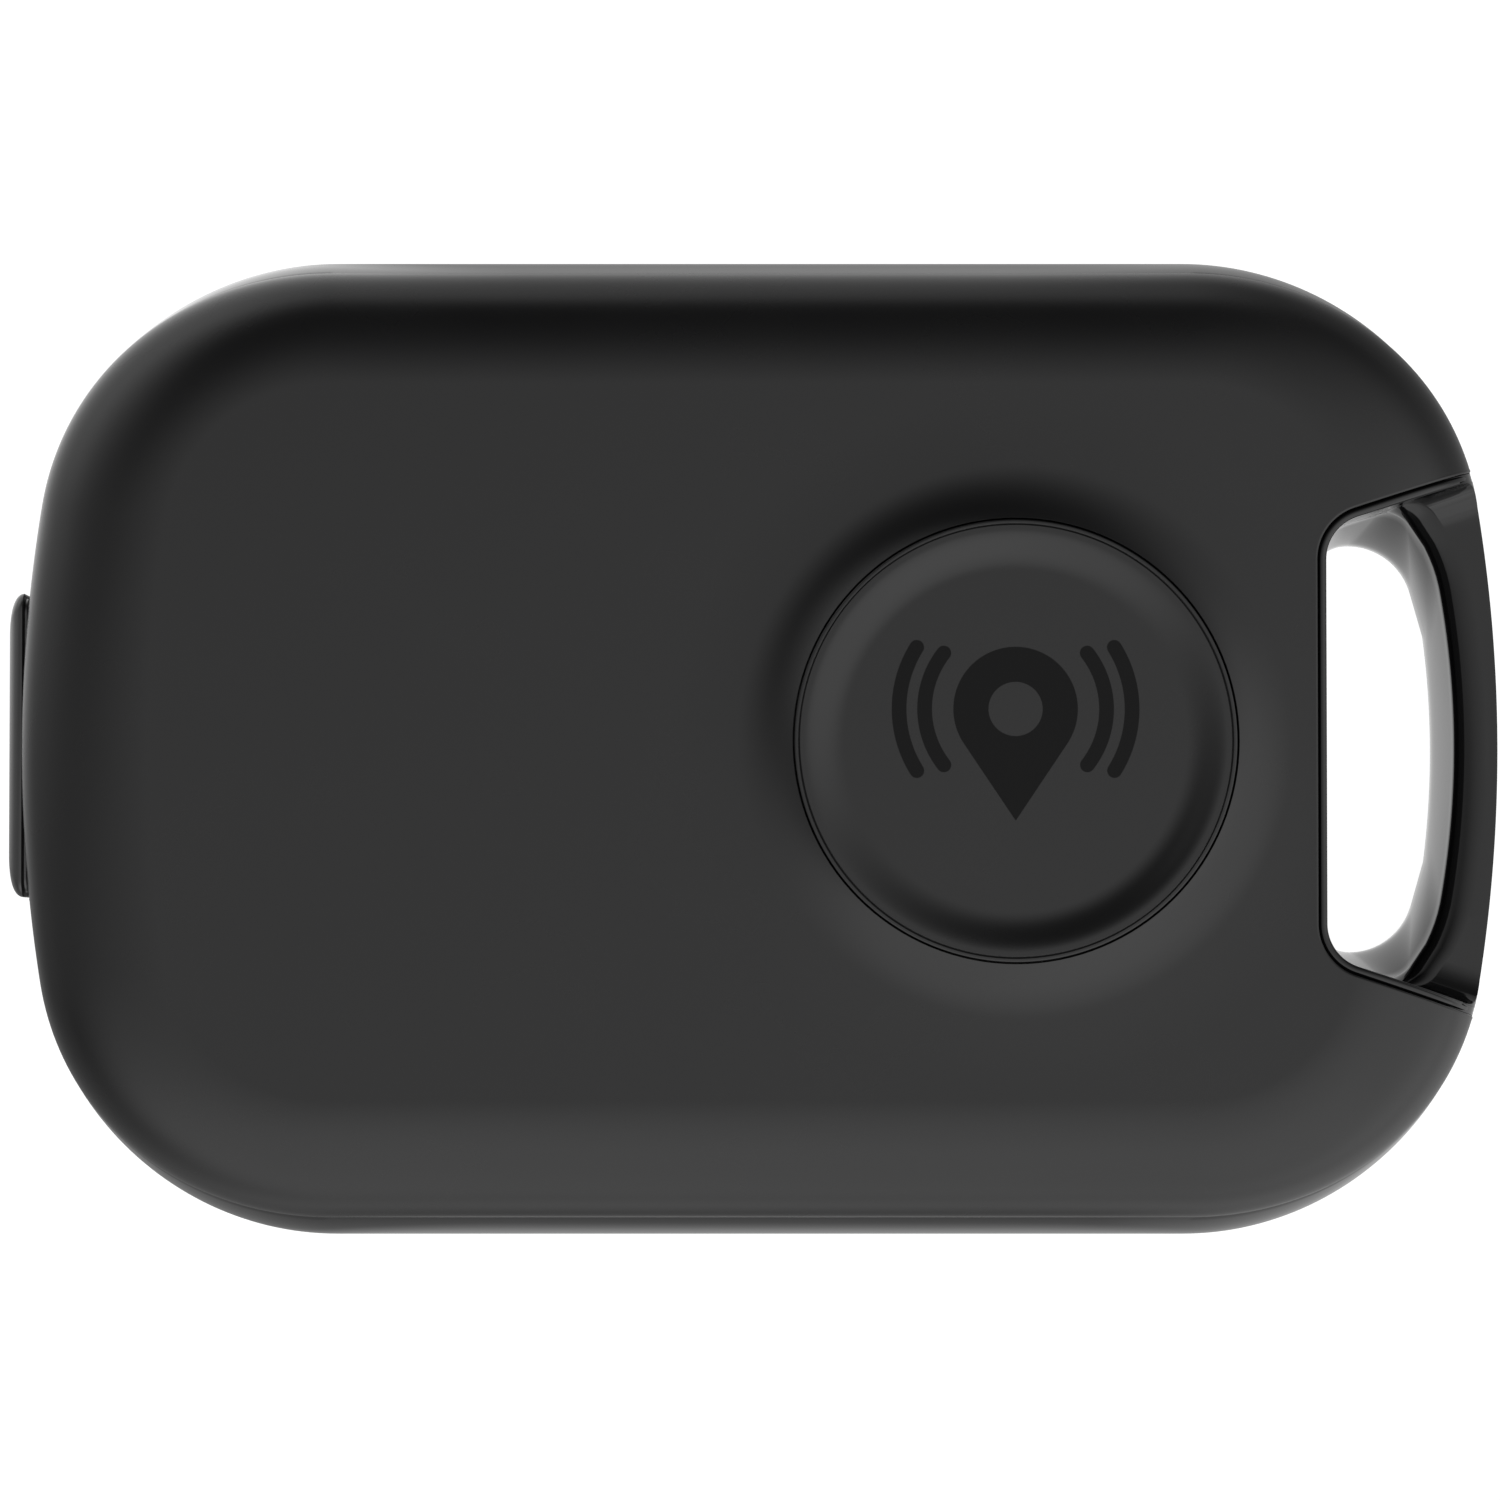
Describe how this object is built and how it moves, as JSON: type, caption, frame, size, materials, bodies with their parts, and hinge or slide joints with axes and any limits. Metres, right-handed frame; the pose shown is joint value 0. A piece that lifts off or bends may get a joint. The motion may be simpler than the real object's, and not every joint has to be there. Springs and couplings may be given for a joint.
{
  "type": "bluetooth tracker tag",
  "caption": "Pocket bluetooth tracker tag: rounded black housing with a dished push button, a key-ring slot and a rubber-covered charging port.",
  "frame": {"origin": "centre of the flat back face", "axes": "+Z out of the button side, +X towards the key-ring slot, +Y across the tag"},
  "size_m": [0.0477, 0.0314, 0.008],
  "materials": {
    "gloss_black": "polished moulded black",
    "satin_black": "satin moulded black",
    "black_rubber": "matt moulded rubber",
    "grey_silicone": "translucent grey silicone",
    "dark_plastic": "moulded",
    "white_plastic": "moulded",
    "steel": "stamped and plated",
    "brass": "rolled sheet",
    "board_mask": "solder mask over laminate",
    "ceramic": "fired ceramic",
    "foil": "laminated pouch foil",
    "foam_tape": "foam",
    "clear_resin": "clear resin",
    "red_insulation": "wire insulation",
    "black_insulation": "wire insulation"
  },
  "bodies": {
    "housing": {"bottom_shell": "gloss_black", "top_shell": "satin_black", "perimeter_seal": "black_rubber", "button_boot": "grey_silicone", "switch_base": "dark_plastic", "switch_dome": "steel", "switch_frame": "steel", "pcb": "board_mask", "pcb_screw_1": "steel", "pcb_screw_2": "steel", "pcb_screw_3": "steel", "pcb_screw_4": "steel", "bluetooth_soc": "dark_plastic", "crystal_main": "steel", "crystal_rtc": "steel", "chip_antenna": "ceramic", "charger_ic": "dark_plastic", "charge_inductor": "ceramic", "status_led": "clear_resin", "usb_shell": "steel", "usb_tongue": "dark_plastic", "port_cover_anchor": "black_rubber", "battery_cell": "foil", "battery_tape": "foam_tape", "battery_board": "board_mask", "battery_lead_positive": "red_insulation", "battery_lead_negative": "black_insulation", "piezo_plate": "brass", "piezo_ceramic": "ceramic", "piezo_contact_plate": "steel", "piezo_contact_ceramic": "steel"},
    "button": {"button_cap": "satin_black"},
    "plunger": {"switch_plunger": "white_plastic"},
    "cover": {"port_cover": "black_rubber"}
  },
  "joints": [
    {"name": "button_press", "type": "slide", "parent": "housing", "child": "button", "axis": [0, 0, -1], "range_m": [0, 0.00025], "stiffness_N_per_m": 3000, "springref_m": -0.00015, "deforming": ["button_boot"]},
    {"name": "plunger_press", "type": "slide", "parent": "housing", "child": "plunger", "axis": [0, 0, -1], "range_m": [0, 0.0003], "deforming": ["switch_dome"]},
    {"name": "port_cover_swing", "type": "hinge", "parent": "housing", "child": "cover", "pos_m": [-0.0236, -0.00495, 0.00275], "axis": [0, 0, 1], "range_deg": [0, 100], "stiffness_Nm_per_rad": 0.0002}
  ],
  "couplings": [
    {"joint": "plunger_press", "follows": "button_press", "ratio": 1}
  ]
}
